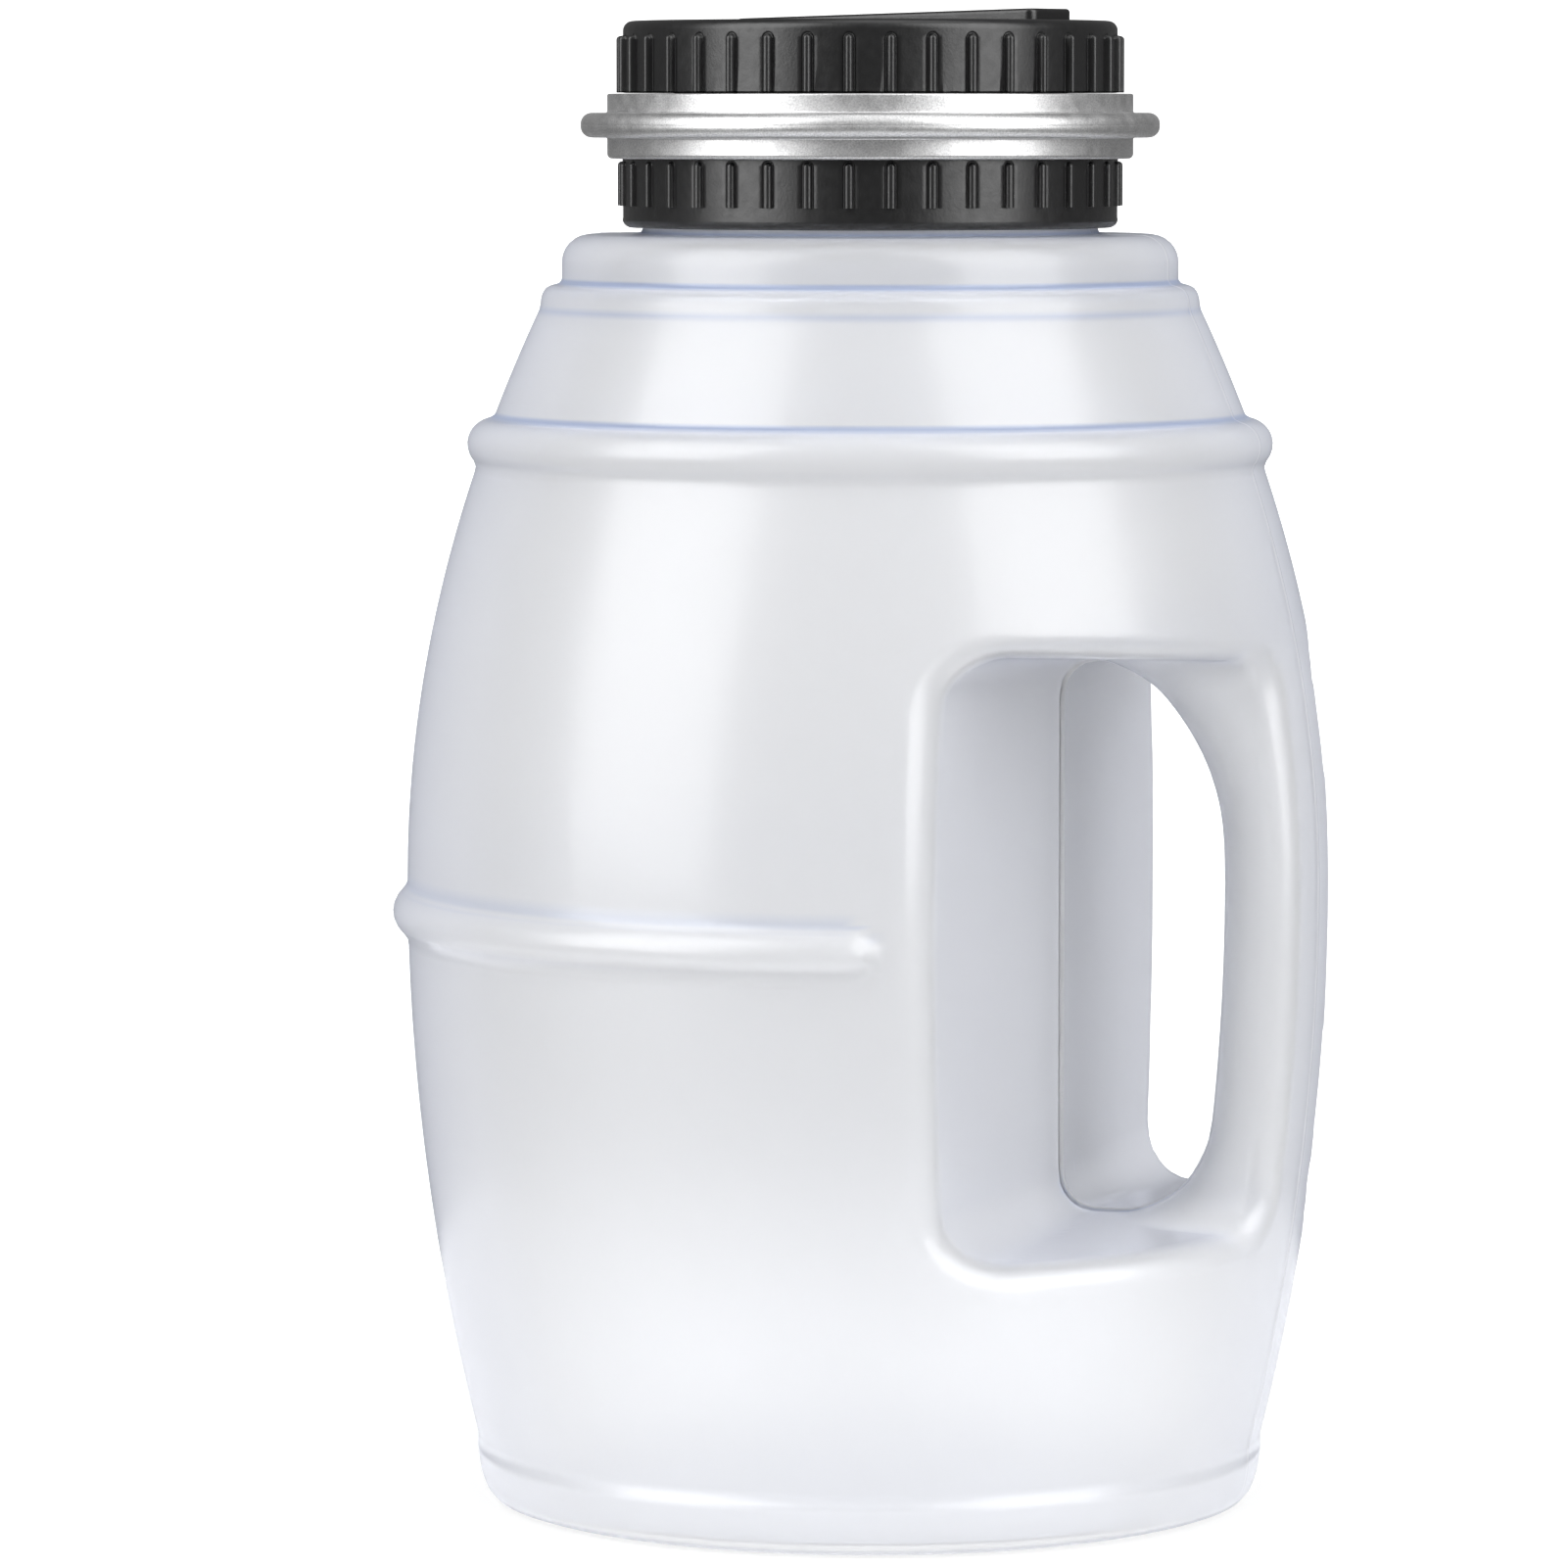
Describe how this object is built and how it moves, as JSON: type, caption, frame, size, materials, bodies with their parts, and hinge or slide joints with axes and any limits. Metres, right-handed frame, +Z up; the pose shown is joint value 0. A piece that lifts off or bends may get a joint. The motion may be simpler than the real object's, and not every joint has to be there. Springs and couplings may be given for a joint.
{
  "type": "digital coin counting jar",
  "caption": "Clear frosted barrel-shaped money jar with a through handle and a screw lid that holds a coin slot, coin lever, display and buttons.",
  "frame": {"origin": "centre of the jar's flat underside", "axes": "+Z up along the jar's axis through the neck, +X towards the handle, handle hole along Y"},
  "size_m": [0.1491, 0.1514, 0.2364],
  "materials": {
    "jar": "frosted translucent",
    "lid_black": "fine spark-eroded grain",
    "silver": "satin silver paint on plastic",
    "gasket": "matte",
    "window": "clear",
    "display": "pale green-grey liquid-crystal panel",
    "white_plastic": "moulded",
    "elastomer": "matte",
    "grey_plastic": "moulded",
    "board": "solder mask on glass-fibre board",
    "chip": "potting compound",
    "steel": "zinc plated",
    "nickel": "nickel plated",
    "cell": "printed sleeve",
    "red_wire": "insulated wire",
    "black_wire": "insulated wire"
  },
  "bodies": {
    "jar": {"jar_body": "jar"},
    "lid_seal": {"sealing_gasket": "gasket"},
    "lid": {"threaded_collar": "lid_black", "silver_ring": "silver", "top_cap": "lid_black", "slot_plate": "lid_black", "display_window": "window", "display_panel": "display", "display_frame": "white_plastic", "display_connector": "elastomer", "plus_switch": "steel", "minus_switch": "steel", "circuit_board": "board", "counter_chip": "chip", "inner_housing": "lid_black", "lever_pin": "steel", "lever_spring": "steel", "battery_1": "cell", "battery_2": "cell", "negative_spring_1": "nickel", "negative_spring_2": "nickel", "positive_contact": "nickel", "spring_contact": "nickel", "bridge_contact": "nickel", "positive_lead": "red_wire", "negative_lead": "black_wire", "housing_screw_1": "steel", "housing_screw_2": "steel", "housing_screw_3": "steel", "housing_screw_4": "steel"},
    "plus_key": {"plus_button": "lid_black"},
    "minus_key": {"minus_button": "lid_black"},
    "lever": {"coin_lever": "grey_plastic", "lever_nose": "lid_black"},
    "door": {"battery_door": "lid_black", "door_screw": "steel"}
  },
  "joints": [
    {"name": "lid_lift", "type": "slide", "parent": "jar", "child": "lid_seal", "axis": [0, 0, 1], "range_m": [0, 0.06]},
    {"name": "lid_turn", "type": "hinge", "parent": "lid_seal", "child": "lid", "pos_m": [0, 0, 0.213], "axis": [0, 0, 1], "range_deg": [0, 450]},
    {"name": "plus_press", "type": "slide", "parent": "lid", "child": "plus_key", "axis": [0, 0, -1], "range_m": [0, 0.0007], "stiffness_N_per_m": 1500, "springref_m": -0.001},
    {"name": "minus_press", "type": "slide", "parent": "lid", "child": "minus_key", "axis": [0, 0, -1], "range_m": [0, 0.0007], "stiffness_N_per_m": 1500, "springref_m": -0.001},
    {"name": "lever_swing", "type": "hinge", "parent": "lid", "child": "lever", "pos_m": [-0.01827, 0.01489, 0.2284], "axis": [0.279, 0.9603, 0], "range_deg": [0, 75], "stiffness_Nm_per_rad": 0.004, "springref_deg": -17.19},
    {"name": "battery_door_off", "type": "slide", "parent": "lid", "child": "door", "axis": [0, 0, -1], "range_m": [0, 0.03]}
  ]
}
